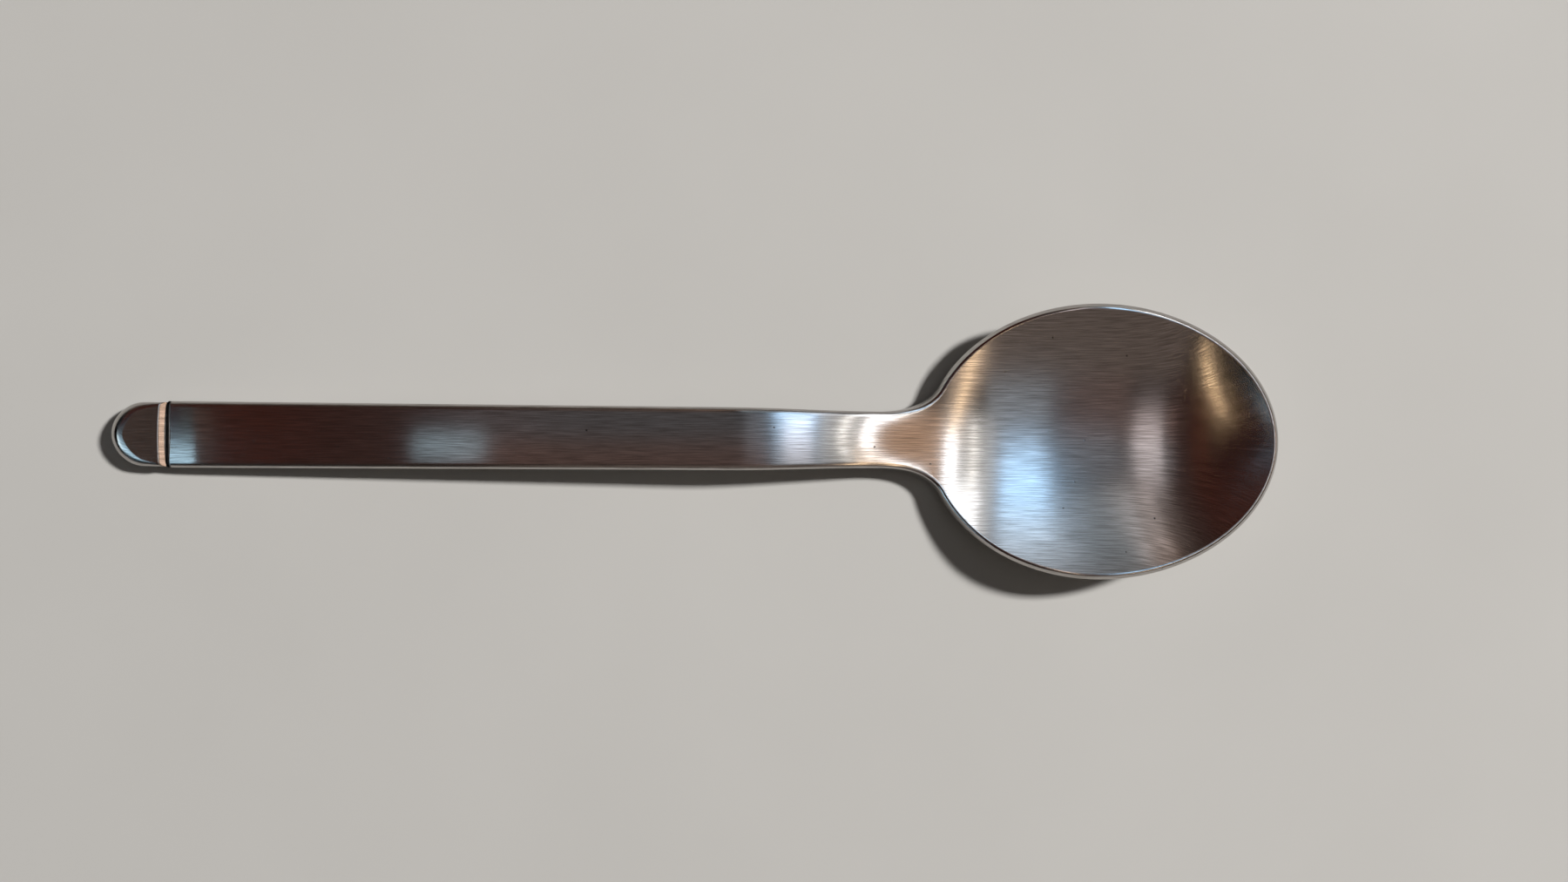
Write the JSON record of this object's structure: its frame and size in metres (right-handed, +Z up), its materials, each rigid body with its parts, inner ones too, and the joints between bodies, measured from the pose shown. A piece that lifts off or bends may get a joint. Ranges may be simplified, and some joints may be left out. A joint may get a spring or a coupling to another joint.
{
  "type": "teaspoon",
  "caption": "Slim brushed steel teaspoon with an oval bowl, a low arched handle and a rounded end cap set off by a V groove.",
  "frame": {"origin": "centre of the footprint, on the table plane under the spoon", "axes": "+X along the spoon from the handle end to the bowl tip, +Y to the left of that direction, +Z up out of the bowl"},
  "size_m": [0.138, 0.0322, 0.0077],
  "materials": {
    "satin_steel": "lengthwise satin brushed",
    "cap_steel": "fine satin brushed",
    "pin_steel": "ground"
  },
  "bodies": {
    "root": {"spoon_body": "satin_steel", "end_cap": "cap_steel", "dowel_pin_left": "pin_steel", "dowel_pin_right": "pin_steel"}
  },
  "joints": []
}
